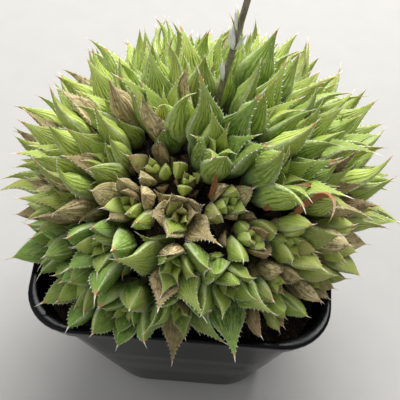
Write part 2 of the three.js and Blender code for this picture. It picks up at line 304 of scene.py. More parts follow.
world = bpy.data.worlds.new("pale sky")
world.use_nodes = True
sky = world.node_tree.nodes["Background"]
sky.inputs["Color"].default_value = SKY_COLOUR
sky.inputs["Strength"].default_value = SKY_STRENGTH
bpy.context.scene.world = world
bpy.context.scene.view_settings.view_transform = "Standard"

select_none()
bpy.ops.mesh.primitive_plane_add(size=FLOOR_SIZE, location=(0, 0, -FLOOR_DROP))
floor = started("floor")
floor_finish = Finish("pale floor", Roughness=0.9)
floor_grain = floor_finish.noise(floor_finish.place(), scale=90.0)
shown = floor_finish.mix(floor_grain, colour(172, 170, 166), colour(178, 176, 172))
floor_finish.paint(Base_Color=shown)
floor_finish.put_on(floor)

# %% [markdown]
# A nursery pot is moulded from one thin sheet of glossy plastic: a square that tapers down,
# round at its corners, with a stepped band and a rolled lip at the rim.
# It could be cut from a block, but drawing it up from its base, ring by ring, gives the even wall
# and keeps the corners' radius the same all the way. Each ring is an extrusion, and then
# its four corners are moved out or in along the diagonal.

# %% The pot's outline
CORNER_RADIUS = 0.016
CORNER_CUTS = 9
WALL = 0.0013
POT_FLOOR = 0.002
BAND_HEIGHT = 0.007
BAND_STEP = 0.0016
LIP = 0.0007
FILLET = 0.0006
FOOT = 0.001
CORNERS = ((1, 1), (-1, 1), (-1, -1), (1, -1))


def wall_half(z):
    """Half the width of the pot's outer wall at a height."""
    top_half = RIM_WIDTH / 2 - BAND_STEP
    return BASE_WIDTH / 2 + (top_half - BASE_WIDTH / 2) * z / POT_HEIGHT


band_low = POT_HEIGHT - BAND_HEIGHT
wall_middle = band_low / 2
rim_half = RIM_WIDTH / 2
rim_inner = wall_half(POT_HEIGHT) - WALL
POT_OUTLINE = [  # height and half width of each ring, from the foot up the outside and down the inside
    (0.0, wall_half(0) - 0.9 * FOOT),
    (0.3 * FOOT, wall_half(0) - 0.2 * FOOT),
    (FOOT, wall_half(FOOT)),
    (wall_middle, wall_half(wall_middle)),
    (band_low - FILLET, wall_half(band_low - FILLET)),
    (band_low, wall_half(band_low) + FILLET),
    (band_low + FILLET / 6, wall_half(band_low) + BAND_STEP - FILLET),
    (band_low + FILLET, wall_half(band_low) + BAND_STEP),
    (POT_HEIGHT - 2.2 * LIP, rim_half - FILLET / 2),
    (POT_HEIGHT - 1.6 * LIP, rim_half),
    (POT_HEIGHT - 0.6 * LIP, rim_half),
    (POT_HEIGHT - 0.15 * LIP, rim_half - 0.45 * LIP),
    (POT_HEIGHT, rim_half - LIP),
    (POT_HEIGHT, rim_inner + LIP),
    (POT_HEIGHT - 0.3 * LIP, rim_inner + 0.3 * LIP),
    (POT_HEIGHT - LIP, rim_inner),
    (wall_middle, wall_half(wall_middle) - WALL),
    (POT_FLOOR + FOOT, wall_half(POT_FLOOR + FOOT) - WALL),
    (POT_FLOOR, wall_half(POT_FLOOR) - WALL - FOOT),
]


# %% Draw the pot up from its base
def draw_ring(piece, rise, spread):
    """Extrudes the selected face and moves its corners along the diagonals."""
    drawn_up(rise)
    mesh = bmesh.from_edit_mesh(piece.data)
    mesh.verts.index_update()
    ring = {vertex.index for vertex in mesh.verts if vertex.select}
    for across, along in CORNERS:
        mesh = bmesh.from_edit_mesh(piece.data)
        for vertex in mesh.verts:
            in_corner = vertex.co.x * across > 0 and vertex.co.y * along > 0
            vertex.select_set(vertex.index in ring and in_corner)
        bmesh.update_edit_mesh(piece.data)
        bpy.ops.transform.translate(value=(across * spread, along * spread, 0))
    mesh = bmesh.from_edit_mesh(piece.data)
    mesh.verts.ensure_lookup_table()
    for index in ring:
        mesh.verts[index].select_set(True)
    mesh.select_flush(True)
    bmesh.update_edit_mesh(piece.data)


def rounded_plate(name, half, z):
    """A square face with round corners, left in edit mode and selected."""
    select_none()
    bpy.ops.mesh.primitive_plane_add(size=2 * half, location=(0, 0, 0))
    piece = started(name)
    bpy.ops.object.mode_set(mode="EDIT")
    bpy.ops.mesh.select_all(action="SELECT")
    bpy.ops.mesh.bevel(
        offset=CORNER_RADIUS, offset_type="OFFSET", segments=CORNER_CUTS, affect="VERTICES")
    bpy.ops.mesh.select_all(action="SELECT")
    bpy.ops.transform.translate(value=(0, 0, z))
    return piece


pot = rounded_plate("square_pot", POT_OUTLINE[0][1], POT_OUTLINE[0][0])
bpy.ops.mesh.flip_normals()
for (low, low_half), (high, high_half) in zip(POT_OUTLINE, POT_OUTLINE[1:]):
    draw_ring(pot, high - low, high_half - low_half)
turned_out()

# %% [markdown]
# Water leaves the pot through four round holes in its floor.
# They are cut with cylinders and a Boolean modifier, as a punch does after moulding.

# %% Punch the drain holes
DRAIN_RADIUS = 0.003
DRAIN_REACH = 0.016
PUNCH_SIDES = 32
PUNCH_LENGTH = 0.012

for across, along in CORNERS:
    select_none()
    place = (across * DRAIN_REACH, along * DRAIN_REACH, 0)
    bpy.ops.mesh.primitive_cylinder_add(
        vertices=PUNCH_SIDES, radius=DRAIN_RADIUS, depth=PUNCH_LENGTH, location=place)
    punch = started("punch")
    select_none()
    bpy.context.view_layer.objects.active = pot
    pot.select_set(True)
    cut = pot.modifiers.new("drain", "BOOLEAN")
    cut.object = punch
    cut.operation = "DIFFERENCE"
    bpy.ops.object.modifier_apply(modifier=cut.name)
    bpy.data.objects.remove(punch)
smoothed(40)
handed_over(pot, "pot", "pot")

# %% [markdown]
# The plastic is black with a hint of navy, glossy where it is clean, and duller under a film of dust.
# One noise with large patches is the film, and a very fine one adds scuffs that catch the light.
# A dusty picture wrapped round the pot would need a map of its surface, which noise doesn't.

# %% The pot's finish
plastic = Finish("black nursery plastic", IOR=1.3, Specular_IOR_Level=0.38)
where = plastic.place()
film = plastic.noise(where, scale=55.0, detail=5.0)
scuffs = plastic.noise(where, scale=1400.0)
dust = film.rise(0.5, 0.85) * 0.25 + scuffs.rise(0.62, 0.72) * 0.15
plastic.paint(
    Base_Color=plastic.mix(dust, colour(4, 5, 8), colour(24, 26, 30)),
    Roughness=dust * 0.45 + 0.18,
    Normal=plastic.bump(scuffs * 0.3 + film, distance=0.0001, strength=0.5),
)
plastic.put_on(pot)

# %% [markdown]
# Soil only shows as a dark, crumbly surface well below the rim.
# A fine grid is squeezed into the pot's rounded square and raised by noise, and its edge is drawn down
# along the wall. Loose crumbs lie on it, all copied from one crumb dented by noise:
# a bump alone would leave the surface flat at its edge, where it meets the wall.

# %% Soil
GAP = 0.0003
SOIL_TOP = 0.066
SOIL_CELLS = 56
SOIL_RELIEF = 0.0008
SOIL_EDGE = 0.003
LUMP_FINENESS = 260
LUMP_NOISE = (0.8, 2.1, 4)  # how rough it is, how fast its layers shrink, and how many there are


def soil_half(z):
    """Half the width of the soil at a height, just clear of the wall."""
    return wall_half(z) - WALL - GAP


def squeezed(point, old_half, new_half):
    """Moves a point of one rounded square to another with the same corner radius."""
    flat = old_half - CORNER_RADIUS
    moved = []
    for value in point:
        run = min(abs(value), flat) * (new_half - CORNER_RADIUS) / flat
        moved.append(math.copysign(run + max(abs(value) - flat, 0.0), value))
    return moved


def rounded(x, y, half):
    """Pulls the corner of a square in to its round corner."""
    flat = half - CORNER_RADIUS
    beyond_x, beyond_y = max(abs(x) - flat, 0.0), max(abs(y) - flat, 0.0)
    if min(beyond_x, beyond_y) == 0.0:
        return x, y
    share = max(beyond_x, beyond_y) / math.hypot(beyond_x, beyond_y)
    return math.copysign(flat + beyond_x * share, x), math.copysign(flat + beyond_y * share, y)


top_half = soil_half(SOIL_TOP)
select_none()
bpy.ops.mesh.primitive_grid_add(x_subdivisions=SOIL_CELLS, y_subdivisions=SOIL_CELLS, size=2 * top_half)
soil = started("potting_soil")
for vertex in soil.data.vertices:
    x, y = rounded(vertex.co.x, vertex.co.y, top_half)
    edge = min(1.0, (top_half - max(abs(x), abs(y))) / SOIL_EDGE)
    lumps = noise.fractal(Vector((x, y, 0)) * LUMP_FINENESS, *LUMP_NOISE)
    vertex.co = (x, y, SOIL_TOP - SOIL_RELIEF * (1 - edge * lumps))
bpy.ops.object.mode_set(mode="EDIT")
bpy.ops.mesh.select_all(action="SELECT")
bpy.ops.mesh.region_to_loop()
bpy.ops.mesh.extrude_region_move()
bottom = POT_FLOOR + GAP
mesh = bmesh.from_edit_mesh(soil.data)
for vertex in mesh.verts:
    if vertex.select:
        x, y = squeezed(vertex.co.xy, top_half, soil_half(bottom))
        vertex.co = (x, y, bottom)
bmesh.update_edit_mesh(soil.data)
bpy.ops.mesh.edge_face_add()
turned_out()
smoothed(50)
handed_over(soil, "soil", "soil")

# %% Crumbs on the soil
CRUMB_SEED = 11
CRUMB_COUNT = 420
CRUMB_SIZES = (0.0006, 0.0017)
CRUMB_DENTS = 0.35
DENT_FINENESS = 2.3
CRUMB_MARGIN = 0.002
CRUMB_SINK = 0.4
CRUMB_STAND = 0.3

select_none()
bpy.ops.mesh.primitive_ico_sphere_add(subdivisions=1, radius=1)
crumb = started("crumb")
for vertex in crumb.data.vertices:
    vertex.co *= 1 + CRUMB_DENTS * noise.noise(vertex.co * DENT_FINENESS)
soil_draw = random.Random(CRUMB_SEED)
reach = top_half - CRUMB_MARGIN
crumbs = []
for _ in range(CRUMB_COUNT):
    x, y = rounded(soil_draw.uniform(-reach, reach), soil_draw.uniform(-reach, reach), reach)
    size = soil_draw.uniform(*CRUMB_SIZES)
    grain = copy_of(crumb, "grain")
    angle = soil_draw.uniform(0, math.tau)
    turn = Matrix.Rotation(angle, 4, (soil_draw.random(), soil_draw.random(), 1))
    place = Matrix.Translation((x, y, SOIL_TOP - SOIL_RELIEF * CRUMB_SINK + size * CRUMB_STAND))
    grain.data.transform(place @ turn @ Matrix.Scale(size, 4))
    crumbs.append(grain)
bpy.data.objects.remove(crumb)
crumbs = joined(crumbs, "soil_crumbs")
handed_over(crumbs, "soil")

# %% [markdown]
# Potting soil is dark, damp peat in clods of a few millimetres, with single pale grains of grit.
# Two noises are enough: a coarse one mixes two browns, and the peaks of a fine one become the grit.
# Both are read in the object's own coordinates, so soil and crumbs share one pattern.

# %% The soil's finish
earth = Finish("dark potting soil", Roughness=0.95)
where = earth.place()
clods = earth.noise(where, scale=320.0, detail=5.0)
grit = earth.noise(where, scale=1500.0, detail=1.0)
peat = earth.mix(clods.rise(0.35, 0.7), colour(24, 19, 15), colour(66, 50, 37))
earth.paint(
    Base_Color=earth.mix(grit.rise(0.66, 0.72), peat, colour(128, 112, 92)),
    Normal=earth.bump(clods + grit * 0.4, distance=0.0008),
)
earth.put_on(soil)
earth.put_on(crumbs)

# %% [markdown]
# Under the rosettes lies a mat of short stems, roots and old leaves, seen as brown gaps in the middle.
# Its body is a dome: the upper half of a sphere, drawn down to the soil, with a rough, fibrous relief.
# Single stems would need many faces and would hardly be seen between the leaves.

# %% The dome of the mat
DOME_CENTRE = Vector((0.003, 0.002, POT_HEIGHT + 0.002))
MAT_RADIUS = 0.038
MAT_RISE = 0.027
MAT_SEGMENTS = 120
MAT_RINGS = 64
MAT_RELIEF = 0.0010
MAT_FINENESS = 420
MAT_NOISE = (0.7, 2.2, 5)
TALLEST_FIBRE = 1.5
EQUATOR_SLACK = 0.001

select_none()
bpy.ops.mesh.primitive_uv_sphere_add(segments=MAT_SEGMENTS, ring_count=MAT_RINGS, radius=1)
mat = started("stem_and_leaf_mat")
bpy.ops.object.mode_set(mode="EDIT")
select_where(mat, lambda co: co.z < -EQUATOR_SLACK)
bpy.ops.mesh.delete(type="VERT")
bpy.ops.mesh.select_all(action="SELECT")
bpy.ops.transform.resize(value=(MAT_RADIUS, MAT_RADIUS, MAT_RISE), center_override=(0, 0, 0))
bpy.ops.transform.translate(value=DOME_CENTRE)
mesh = bmesh.from_edit_mesh(mat.data)
for vertex in mesh.verts:
    outward = (vertex.co - DOME_CENTRE).normalized()
    fibres = noise.fractal(vertex.co * MAT_FINENESS, *MAT_NOISE)
    vertex.co += outward * MAT_RELIEF * max(-TALLEST_FIBRE, min(TALLEST_FIBRE, fibres))
bmesh.update_edit_mesh(mat.data)
bpy.ops.mesh.select_all(action="SELECT")
bpy.ops.mesh.region_to_loop()
mat_foot = SOIL_TOP + GAP - DOME_CENTRE.z
drawn_up(mat_foot)
select_where(mat, lambda co: co.z < DOME_CENTRE.z + mat_foot + MAT_RELIEF)
mesh = bmesh.from_edit_mesh(mat.data)
for vertex in mesh.verts:
    if vertex.select:
        vertex.co.z = SOIL_TOP + GAP
bmesh.update_edit_mesh(mat.data)
bpy.ops.mesh.edge_face_add()
turned_out()
smoothed(60)
handed_over(mat, "stem_mat", "stem_mat")

# %% [markdown]
# Rotting stems and leaves are brown in patches, with paler threads of dry fibre on top.
# A fine noise with a high threshold draws the threads, and the same noise raises them.

# %% The mat's finish
litter = Finish("rotting litter", Roughness=0.95)
where = litter.place()
patches = litter.noise(where, scale=150.0, detail=4.0)
threads = litter.noise(where, scale=900.0, detail=3.0)
brown = litter.mix(patches.rise(0.35, 0.65), colour(27, 20, 14), colour(70, 54, 36))
litter.paint(
    Base_Color=litter.mix(threads.rise(0.58, 0.7), brown, colour(112, 94, 68)),
    Normal=litter.bump(threads + patches, distance=0.0008),
)
litter.put_on(mat)

# %% [markdown]
# A leaf of this plant is fat and pointed: nearly flat on the face that looks to the middle, rounded and
# faintly keeled on the back, with fine white teeth on both margins and a bristle for a tip.
# It is drawn out ring by ring from a circle, each ring scaled to the leaf's width and depth there.
# Three outlines are enough for the whole clump, and each is modelled once, straight and one unit long.
# Three attributes ride on every vertex, because a finish has to follow the leaf and not the room:
# where the vertex lies on its leaf, and later, in two more, what that one leaf looks like.

# %% Outlines of the three leaf shapes
LEAF_SIDES = 12
FACE_BULGE = 0.22
KEEL_STRETCH = 1.25
KEEL_START = 0.5
WIDTH, DEPTH = 1, 2
SHAPES = {  # along the leaf, then the share of the full width and of the full depth
    "plump": [
        (0, 0.62, 0.55), (0.1, 0.76, 0.7), (0.2, 0.86, 0.82), (0.32, 0.94, 0.9), (0.45, 1, 1),
        (0.58, 0.99, 1), (0.7, 0.87, 0.9), (0.8, 0.69, 0.72), (0.88, 0.47, 0.5), (0.945, 0.25, 0.28),
        (0.99, 0.09, 0.12), (1.05, 0.035, 0.045), (1.12, 0.008, 0.01)],
    "long": [
        (0, 0.72, 0.7), (0.1, 0.89, 0.88), (0.2, 1.02, 1.0), (0.3, 1.1, 1.06), (0.4, 1.12, 1.07),
        (0.5, 1.04, 1.0), (0.59, 0.87, 0.86), (0.68, 0.63, 0.65), (0.76, 0.43, 0.46), (0.84, 0.27, 0.31),
        (0.92, 0.145, 0.175), (1.0, 0.05, 0.065), (1.08, 0.009, 0.011)],
    "short": [
        (0, 0.76, 0.72), (0.1, 0.93, 0.9), (0.2, 1.05, 1.02), (0.3, 1.12, 1.08), (0.4, 1.12, 1.08),
        (0.5, 1.04, 1.0), (0.59, 0.87, 0.86), (0.68, 0.64, 0.66), (0.76, 0.45, 0.48), (0.84, 0.29, 0.33),
        (0.92, 0.155, 0.19), (1.0, 0.055, 0.07), (1.07, 0.009, 0.011)],
}
TEETH = {"first": 0.34, "last": 0.95, "count": 11, "reach": 0.12, "thick": 0.04, "base": 0.009}
KEEL_TEETH = {"first": 0.66, "last": 0.94, "count": 4, "reach": 0.1, "thick": 0.035, "base": 0.009}
TOOTH_REACHES = (0.55, 0.85, 1.15, 0.7, 1.0)  # shares of the reach, so no two neighbours are alike
TOOTH_SINK = 0.99
TOOTH_LEAN = 0.25
TOOTH_RISE = 0.35
ON_TOOTH = 2.0
HAIR = 1e-5


# %% Draw out a leaf
def set_look(piece, name, values):
    """Writes one vector for each vertex to an attribute."""
    attributes = piece.data.attributes
    held = attributes.get(name) or attributes.new(name, "FLOAT_VECTOR", "POINT")
    held.data.foreach_set("vector", np.asarray(values, np.float32).ravel())


def share_at(t, shape, measure):
    """The share of the full width or depth at a place along a leaf."""
    outline = SHAPES[shape]
    return np.interp(t, [ring[0] for ring in outline], [ring[measure] for ring in outline])


def leaf_body(shape):
    """A straight leaf one unit long, which knows where each of its vertices lies on it."""
    outline = SHAPES[shape]
    leaf = filled_ring(shape + "_leaf", LEAF_SIDES, 1)
    bpy.ops.transform.resize(value=(outline[0][1], outline[0][2], 1))
    for (low, low_width, low_depth), (high, width, depth) in zip(outline, outline[1:]):
        drawn_up(high - low)
        scale = (width / low_width, depth / low_depth, 1)
        bpy.ops.transform.resize(value=scale, center_override=(0, 0, high))
    select_where(leaf, lambda co: co.y < -HAIR)
    bpy.ops.transform.resize(value=(1, FACE_BULGE, 1), center_override=(0, 0, 0))
    select_where(leaf, lambda co: co.y > 0 and abs(co.x) < HAIR and co.z > KEEL_START)
    bpy.ops.transform.resize(value=(1, KEEL_STRETCH, 1), center_override=(0, 0, 0))
    turned_out()
    smoothed(75)
    x, y, t = np.array([vertex.co for vertex in leaf.data.vertices]).T
    across, back = x / share_at(t, shape, WIDTH), y / share_at(t, shape, DEPTH)
    set_look(leaf, "on_leaf", np.column_stack([across, t, back]))
    return leaf


# %% Set the teeth and make the three patterns
def model_tooth():
    """A three-sided point along X on a base one unit round."""
    select_none()
    place = (0, 0, TOOTH_RISE)
    bpy.ops.mesh.primitive_cone_add(vertices=3, radius1=1, radius2=0, depth=1, location=place)
    tooth = started("tooth")
    bpy.ops.object.transform_apply(location=True)
    tooth.data.transform(Matrix.Rotation(math.radians(90), 4, "Y"))
    return tooth


def leaf_teeth(tooth, shape, row, turn):
    """Copies of the tooth along one margin, or along the keel where turn is a quarter."""
    teeth = []
    on_keel = row is KEEL_TEETH
    for step in range(row["count"]):
        t = row["first"] + (row["last"] - row["first"]) * step / (row["count"] - 1)
        share = share_at(t, shape, DEPTH) * KEEL_STRETCH if on_keel else share_at(t, shape, WIDTH)
        piece = copy_of(tooth, "tooth")
        reach = row["reach"] * TOOTH_REACHES[step % len(TOOTH_REACHES)]
        piece.data.transform(Matrix.Diagonal((reach, row["thick"], row["base"], 1)))
        for vertex in piece.data.vertices:
            vertex.co.z += TOOTH_LEAN * max(vertex.co.x, 0.0)
        place = Matrix.Translation((share * TOOTH_SINK, 0, t))
        piece.data.transform(Matrix.Rotation(turn, 4, "Z") @ place)
        set_look(piece, "on_leaf", [(math.cos(turn), t, ON_TOOTH)] * len(piece.data.vertices))
        teeth.append(piece)
    return teeth


tooth = model_tooth()
patterns = {}
for shape in SHAPES:
    parts = [leaf_body(shape)]
    for row, turn in ((TEETH, 0.0), (TEETH, math.pi), (KEEL_TEETH, math.pi / 2)):
        parts += leaf_teeth(tooth, shape, row, turn)
    patterns[shape] = joined(parts, shape + "_leaf")
    print(shape, "leaf:", len(patterns[shape].data.polygons), "faces")
bpy.data.objects.remove(tooth)

# %% [markdown]
# The rosettes stand on a dome and lean a little towards the light. Each has a fat outer whorl,
# a steeper inner one, a small heart and a skirt of low, older leaves. Places, counts and leans
# of the outer two are those of the solids, and so is the rule that bends a leaf towards its own axis
# until it is clear of every neighbour, so the fine leaves lie where the solids do.
# Scattering rosettes at random would be quicker, but it wouldn't give this plant.
# Lengths are in metres and angles in degrees.

# %% Where the rosettes stand
CROWN_RADIUS = 0.044
CROWN_RISE = 0.033
LIGHT_PULL = np.array([0.12, 0, 0.18])
WHORLS = {  # shares of the leaf's size and lean, place on the axis, turn, then how dry and how pale
    "outer": {
        "share": 1, "lean": 1, "height": -0.0006, "radius": 0.003, "turn": 0.0,
        "dry": 1, "always_dry": 0.0, "pale": 0.0},
    "inner": {
        "share": 0.68, "lean": 0.3, "height": 0.002, "radius": 0.0013, "turn": 0.5,
        "dry": 0.25, "always_dry": 0.0, "pale": 0.1},
    "heart": {
        "share": 0.44, "lean": 0.14, "height": 0.003, "radius": 0.0006, "turn": 1.6,
        "dry": 0, "always_dry": 0.0, "pale": 0.3},
    "skirt": {
        "share": 0.66, "lean": 1.3, "height": -0.0042, "radius": 0.0028, "turn": 0.65,
        "dry": 2, "always_dry": 0.12, "pale": 0.0},
}
HEART_COUNT = 3
SKIRT_COUNT = 3
TURN_SPREAD = 0.16
SIZE_SPREAD = 0.14
WEDGE_SHARE = 0.94
WIDEST_WEDGE = 1.2
LEAF_CLEARANCE = 0.0002
RIM_CLEARANCE = 0.0005
BEND_TRIES = 16
BEND_STEP = 0.86
SHRINK_STEP = 0.95
FIRST_SEED = 1009
SEED_STEP = 97
DRAW_FACTOR = 48271
DRAW_MODULUS = 2147483647
SECTIONS = {
    "plump": [(0.3, 0.9, 0.85), (0.58, 1, 1), (0.82, 0.66, 0.6)],
    "long": [(0.24, 0.96, 0.95), (0.48, 0.92, 0.92), (0.74, 0.44, 0.48)],
    "short": [(0.28, 1, 1), (0.62, 0.66, 0.68)],
}
FORMS = {  # length, width, depth, lean at the root and at the tip, outline
    "plump": (0.020, 0.0096, 0.0046, 60, 8, "plump"),
    "open": (0.024, 0.011, 0.004, 58, 34, "long"),
    "long": (0.027, 0.0112, 0.0043, 50, 14, "long"),
    "tuft": (0.027, 0.0112, 0.0044, 50, 14, "short"),
    "bud": (0.014, 0.0074, 0.004, 40, 0, "plump"),
}
# Azimuth and polar angle on the dome, form, number of outer and of inner leaves, size,
# then the share of dry leaves, how pale the green is and how blue.
# How pale is partly painted light: rosettes on the back and sides of the clump, where the light falls,
# are given the palest, lightest green.
ROSETTES = [
    (-55, 15, "long", (5, 3), 1.15, 0.0, 0.2, 0.7), (155, 18, "long", (5, 3), 1, 0.2, 0.4, 0.5),
    (95, 28, "long", (5, 3), 1, 0.0, 0.45, 0.4), (24, 28, "long", (5, 3), 1.05, 0.0, 0.3, 0.5),
    (-138, 27, "bud", (4, 0), 0.85, 0.5, 0.5, 0.0), (-98, 24, "bud", (3, 0), 0.75, 0.4, 0.5, 0.0),
    (-97, 41, "open", (5, 3), 0.85, 1.0, 0.4, 0.0), (-130, 45, "plump", (5, 3), 0.85, 0.7, 0.3, 0.1),
    (-163, 42, "long", (5, 3), 0.85, 0.3, 0.45, 0.3), (160, 42, "long", (5, 3), 0.95, 0.05, 0.5, 0.5),
    (128, 44, "long", (5, 3), 0.93, 0.0, 0.5, 0.5), (98, 50, "long", (5, 3), 0.95, 0.0, 0.5, 0.5),
    (68, 48, "long", (5, 3), 1.1, 0.0, 0.4, 0.3), (40, 48, "long", (5, 3), 1.06, 0.0, 0.4, 0.4),
    (10, 46, "long", (5, 3), 1, 0.05, 0.4, 0.4), (-26, 40, "long", (5, 3), 1.1, 0.1, 0.35, 0.6),
    (-64, 37, "bud", (4, 3), 1, 0.55, 0.3, 0.2), (-58, 53, "bud", (4, 3), 1, 0.35, 0.3, 0.1),
    (-96, 60, "open", (5, 3), 0.95, 0.3, 0.3, 0.4), (-74, 68, "open", (5, 3), 0.95, 0.1, 0.2, 0.4),
    (-43, 62, "plump", (5, 3), 0.95, 0.25, 0.4, 0.0), (-54, 73, "bud", (4, 0), 0.95, 0.5, 0.3, 0.0),
    (-14, 58, "long", (5, 3), 0.95, 0.35, 0.4, 0.3), (20, 65, "long", (5, 3), 1, 0.1, 0.5, 0.3),
    (46, 66, "long", (5, 3), 1.06, 0.05, 0.62, 0.2), (72, 67, "tuft", (5, 3), 1.08, 0.0, 0.65, 0.1),
    (98, 67, "tuft", (5, 3), 0.93, 0.05, 0.5, 0.2), (124, 66, "tuft", (5, 3), 0.92, 0.0, 0.6, 0.1),
    (150, 63, "long", (5, 3), 0.94, 0.05, 0.7, 0.1), (-178, 60, "long", (5, 3), 1, 0.1, 0.7, 0.1),
    (-154, 62, "long", (5, 3), 0.95, 0.45, 0.5, 0.0), (-129, 64, "plump", (5, 3), 1, 0.0, 0.1, 0.2),
    (-93, 77, "open", (5, 3), 0.82, 0.1, 0.2, 0.1), (-112, 83, "plump", (5, 3), 0.95, 0.1, 0.1, 0.2),
    (-132, 84, "plump", (5, 3), 1, 0.0, 0.1, 0.2), (-150, 80, "plump", (5, 3), 1, 0.0, 0.1, 0.2),
    (-168, 76, "plump", (5, 3), 1, 0.4, 0.4, 0.0), (174, 80, "tuft", (5, 3), 0.95, 0.45, 0.6, 0.0),
    (-56, 86, "plump", (4, 3), 0.85, 0.35, 0.3, 0.0), (-38, 85, "plump", (4, 3), 0.85, 0.45, 0.3, 0.0),
    (-25, 77, "plump", (5, 3), 0.95, 0.3, 0.5, 0.0), (-7, 75, "long", (5, 3), 1, 0.1, 0.5, 0.1),
    (12, 83, "tuft", (5, 3), 1, 0.05, 0.6, 0.1), (36, 84, "tuft", (5, 3), 1, 0.0, 0.6, 0.1),
    (60, 85, "tuft", (5, 3), 1, 0.05, 0.65, 0.0), (84, 85, "tuft", (5, 3), 1, 0.1, 0.7, 0.0),
    (108, 85, "tuft", (5, 3), 1, 0.05, 0.6, 0.1), (132, 84, "tuft", (5, 3), 1, 0.1, 0.6, 0.1),
    (154, 82, "tuft", (5, 3), 1, 0.05, 0.7, 0.0),
]
STALK = {"azimuth": 66, "polar": 19, "radius": 0.0011, "bend": 0.012, "length": 0.060, "lean": 10}
STALK_SPREAD = 0.25
STEM_DEPTH = 0.013


def unit(vector):
    """The same direction with a length of 1."""
    return vector / np.linalg.norm(vector)


def turned_about(axis, start, turn):
    """A direction square to the axis: the start, turned about it by an angle."""
    return start * math.cos(turn) + np.cross(axis, start) * math.sin(turn)


def dome_reach(outward, radius, rise):
    """How far the skin of a dome lies from its centre in a direction."""
    return 1 / math.hypot(outward[0] / radius, outward[1] / radius, outward[2] / rise)


def standing(azimuth, polar, spread):
    """Where a rosette or the stalk stands, which way it grows and how wide it may spread."""
    a, p = math.radians(azimuth), math.radians(polar)
    outward = np.array([math.sin(p) * math.cos(a), math.sin(p) * math.sin(a), math.cos(p)])
    crown = np.array(DOME_CENTRE) + outward * dome_reach(outward, CROWN_RADIUS, CROWN_RISE)
    growth = unit(outward + LIGHT_PULL)
    return {"outward": outward, "crown": crown, "growth": growth, "spread": spread}


STALK_STAND = standing(STALK["azimuth"], STALK["polar"], STALK_SPREAD)
PLANTS = [standing(row[0], row[1], row[4]) for row in ROSETTES]

# %% [markdown]
# A fence is a plane between two neighbours. A leaf that crosses one is bent in towards its own axis,
# a little at each try, and later also shortened, until all of it is clear.
# A physics run could press the rosettes together too, but it would settle each time in another way.

# %% Fences between neighbours
def fences_of(own, others):
    """The planes that part a rosette from its neighbours, as points and directions."""
    points, normals = [], []
    for other in others:
        if other is own:
            continue
        across = own["crown"] - other["crown"]
        share = own["spread"] / (own["spread"] + other["spread"])
        along = unit(own["growth"] + other["growth"])
        points.append(own["crown"] - across * share)
        normals.append(unit(across - along * across.dot(along)))
    return np.array(points), np.array(normals)


def is_clear(points, fences):
    """Whether all points lie above the rim and inside every fence."""
    if points[:, 2].min() < POT_HEIGHT + RIM_CLEARANCE:
        return False
    depths = ((points[:, None] - fences[0][None]) * fences[1][None]).sum(axis=2)
    return depths.min() >= LEAF_CLEARANCE


def section_points(leaf):
    """The corners of the solid leaf's sections and its tip."""
    points = []
    place, radius, last = leaf["root"].copy(), leaf["root_radius"], 0.0
    axis, away, bend = leaf["axis"], leaf["away"], leaf["tip_lean"] - leaf["lean"]
    for t, width_share, depth_share in [*SECTIONS[leaf["shape"]], (1.0, 0.0, 0.0)]:
        middle = math.radians(leaf["lean"] + bend * (t + last) / 2)
        step = leaf["length"] * (t - last)
        place = place + axis * math.cos(middle) * step + away * math.sin(middle) * step
        radius += math.sin(middle) * step
        last = t
        angle = math.radians(leaf["lean"] + bend * t)
        back = (away * math.cos(angle) - axis * math.sin(angle)) * leaf["depth"] * depth_share
        half = min(leaf["width"] * width_share / 2, radius * math.tan(leaf["wedge"]) * WEDGE_SHARE)
        points += [place + back, place + leaf["side"] * half, place - leaf["side"] * half]
    return np.array(points)


# %% Bend the leaves of a whorl clear of the fences
FREE_RADIUS = 0.01
LATE_TRY = BEND_TRIES / 3


def leaf_at(root, axis, away, size, leans, shape="long", wedge=WIDEST_WEDGE, root_radius=FREE_RADIUS):
    """All that is known of a leaf. size is length, width and depth, leans are at root and tip."""
    length, width, depth = size
    lean, tip_lean = leans
    return {
        "root": root, "axis": axis, "away": away, "side": np.cross(axis, away), "shape": shape,
        "wedge": wedge, "root_radius": root_radius, "length": length, "width": width, "depth": depth,
        "lean": lean, "tip_lean": tip_lean,
    }


def make_draw(seed):
    """Repeatable draws between 0 and 1, the same as the solids use."""
    state = seed

    def draw():
        nonlocal state
        state = state * DRAW_FACTOR % DRAW_MODULUS
        return state / DRAW_MODULUS

    return draw


def whorl_of(plant, form, size, whorl, count, first_turn, draw, fences):
    """One whorl of a rosette as a list of leaves, each bent until it stands clear."""
    length, width, depth, lean, tip_lean, shape = FORMS[form]
    growth = plant["growth"]
    across = unit(np.cross([0, 0, 1], growth))
    pitch = math.tau / count
    turns = [first_turn + k * pitch + (draw() - 0.5) * TURN_SPREAD * pitch for k in range(count)]
    leaves = []
    for k, turn in enumerate(turns):
        later = turns[k + 1] if k + 1 < count else turns[0] + math.tau
        before = turns[k - 1] if k > 0 else turns[-1] - math.tau
        away = turned_about(growth, across, turn)
        share = size * whorl["share"] * (1 + SIZE_SPREAD * (draw() - 0.5))
        root = plant["crown"] + growth * whorl["height"] * size + away * whorl["radius"] * size
        leaf = leaf_at(
            root, growth, away, (length * share, width * share, depth * share),
            (lean * whorl["lean"], tip_lean * whorl["lean"]), shape,
            min((later - turn) / 2, (turn - before) / 2, WIDEST_WEDGE), whorl["radius"] * size)
        for attempt in range(BEND_TRIES):
            if is_clear(section_points(leaf), fences):
                break
            leaf["lean"] *= BEND_STEP
            leaf["tip_lean"] *= BEND_STEP
            if attempt > LATE_TRY:
                for name in ("length", "width", "depth"):
                    leaf[name] *= SHRINK_STEP
        leaves.append(leaf)
    return leaves


# %% [markdown]
# A straight pattern becomes a real leaf when its rings are set along an arc from the root to the tip.
# A Curve modifier would do it for one leaf, but hundreds of curves are slow, so the arc is worked out
# for all vertices of a leaf at once. A little twist, sway and hook, drawn for each leaf, keeps
# two neighbours from looking stamped, and a dry leaf is thinner and rolls its margins in.

